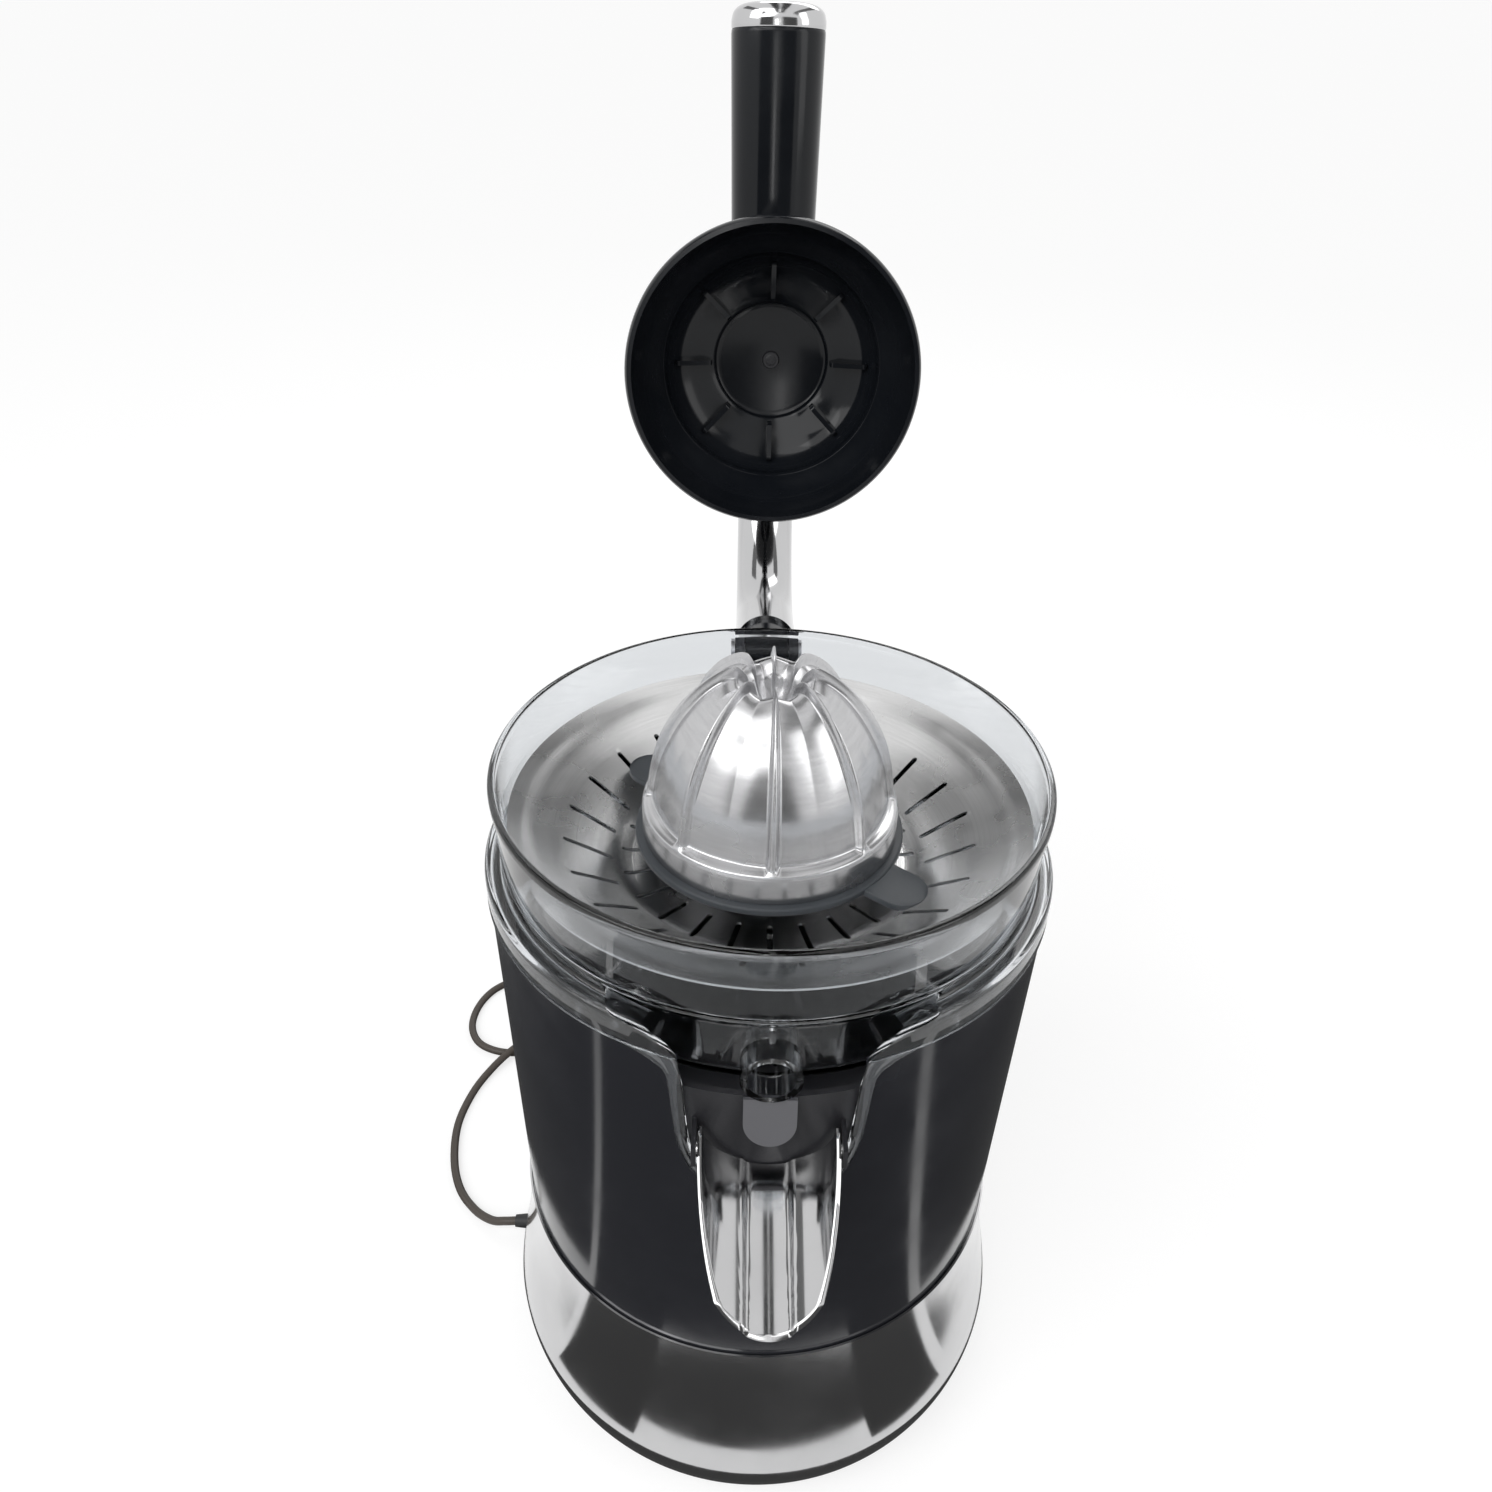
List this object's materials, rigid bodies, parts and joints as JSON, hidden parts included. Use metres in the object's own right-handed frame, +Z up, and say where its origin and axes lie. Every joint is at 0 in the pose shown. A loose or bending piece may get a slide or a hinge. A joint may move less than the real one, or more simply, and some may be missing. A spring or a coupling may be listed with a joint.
{
  "type": "electric citrus juicer",
  "caption": "Upright electric citrus juicer with a clear bowl, ribbed reamer, steel strainer, front spout and a rear-hinged press lever with a domed cup.",
  "frame": {"origin": "on the table, in the axis of the reamer and the round body", "axes": "+Z up along the reamer's axis, -Y towards the front with the spout, +X to the right seen from the front"},
  "size_m": [0.2533, 0.369, 0.478],
  "materials": {
    "chrome_plate": "mirror-bright plated",
    "body_black": "dark glossy lacquer",
    "black_gloss": "glossy",
    "black_matte": "fine matte",
    "clear_plastic": "clear, slightly smoky, polished",
    "grey_translucent": "translucent, satin",
    "strainer_steel": "brushed round the axis",
    "reamer_metal": "satin polished",
    "stirrer_grey": "matte",
    "rubber_black": "matte",
    "screw_steel": "zinc bright",
    "bracket_steel": "plain",
    "lamination_steel": "dull",
    "winding_copper": "enamelled copper wire",
    "bush_bronze": "plain",
    "gearbox_white": "plain",
    "gear_nylon": "plain",
    "fan_white": "plain",
    "chassis_black": "plain",
    "button_red": "plain",
    "cord_brown": "satin vinyl",
    "plug_black": "satin vinyl",
    "pin_brass": "nickel plated"
  },
  "bodies": {
    "housing": {"base_shell": "chrome_plate", "bottom_cover": "chassis_black", "rubber_feet": "rubber_black", "base_screws": "screw_steel", "motor_chassis": "chassis_black", "motor_lower_bracket": "bracket_steel", "motor_upper_bracket": "bracket_steel", "motor_bearings": "bush_bronze", "stator_core": "lamination_steel", "stator_windings": "winding_copper", "gearbox_housing": "gearbox_white", "gearbox_bridge": "gearbox_white", "gearbox_cover": "gearbox_white", "gearbox_screws": "screw_steel", "idler_pin": "screw_steel", "lower_shaft_bush": "bush_bronze", "upper_shaft_bush": "bush_bronze", "shaft_seal": "rubber_black", "return_spring": "screw_steel", "micro_switch": "chassis_black", "inner_leads": "cord_brown", "body_shell": "body_black", "case_screws": "screw_steel", "top_deck": "black_matte", "spout_housing": "black_matte", "drip_flap": "grey_translucent", "juice_bowl": "clear_plastic", "strainer": "strainer_steel", "hinge_bracket": "body_black", "backing_plate": "bracket_steel", "bracket_screws": "screw_steel", "hinge_pin": "screw_steel", "cord_relief": "plug_black", "cord_clamp": "chassis_black", "terminal_block": "gearbox_white", "power_cord": "cord_brown", "cord_coil": "cord_brown", "mains_plug": "plug_black", "plug_pins": "pin_brass", "cord_tie": "plug_black"},
    "motor_rotor": {"rotor_core": "lamination_steel", "rotor_shaft": "screw_steel", "cooling_fan": "fan_white"},
    "idler": {"idler_gear": "gear_nylon"},
    "press_carrier": {"thrust_cup": "gear_nylon"},
    "shaft": {"drive_shaft": "screw_steel", "output_gear": "gear_nylon"},
    "reamer": {"reamer_cone": "reamer_metal", "reamer_hub": "black_matte", "pulp_stirrer": "stirrer_grey"},
    "plunger": {"switch_plunger": "button_red"},
    "spout_body": {"spout": "chrome_plate"},
    "arm": {"arm_tube": "chrome_plate", "arm_knuckle": "black_gloss", "hinge_bushes": "gear_nylon", "handle_grip": "black_gloss", "handle_cap": "chrome_plate", "dome_neck": "black_gloss", "press_dome": "black_gloss", "dome_screw": "black_matte"}
  },
  "joints": [
    {"name": "arm_swing", "type": "hinge", "parent": "housing", "child": "arm", "pos_m": [0, 0.104, 0.258], "axis": [-1, 0, 0], "range_deg": [-97, 0]},
    {"name": "spout_tip", "type": "hinge", "parent": "housing", "child": "spout_body", "pos_m": [0, -0.0941, 0.2051], "axis": [-1, 0, 0], "range_deg": [0, 25]},
    {"name": "press_slide", "type": "slide", "parent": "housing", "child": "press_carrier", "axis": [0, 0, 1], "range_m": [-0.0022, 0], "stiffness_N_per_m": 3000, "springref_m": 0.004, "deforming": ["return_spring"]},
    {"name": "shaft_spin", "type": "hinge", "parent": "press_carrier", "child": "shaft", "pos_m": [0, 0, 0.15], "axis": [0, 0, 1], "continuous": true},
    {"name": "reamer_lift", "type": "slide", "parent": "shaft", "child": "reamer", "axis": [0, 0, 1], "range_m": [0, 0.06]},
    {"name": "idler_spin", "type": "hinge", "parent": "housing", "child": "idler", "pos_m": [0.03, 0, 0.12], "axis": [0, 0, 1], "continuous": true},
    {"name": "motor_spin", "type": "hinge", "parent": "housing", "child": "motor_rotor", "pos_m": [0, 0, 0.06], "axis": [0, 0, 1], "continuous": true},
    {"name": "plunger_slide", "type": "slide", "parent": "housing", "child": "plunger", "axis": [0, 0, 1], "range_m": [-0.0022, 0]}
  ],
  "couplings": [
    {"joint": "idler_spin", "follows": "motor_spin", "ratio": -0.2},
    {"joint": "shaft_spin", "follows": "motor_spin", "ratio": 0.066667},
    {"joint": "plunger_slide", "follows": "press_slide", "ratio": 1}
  ]
}
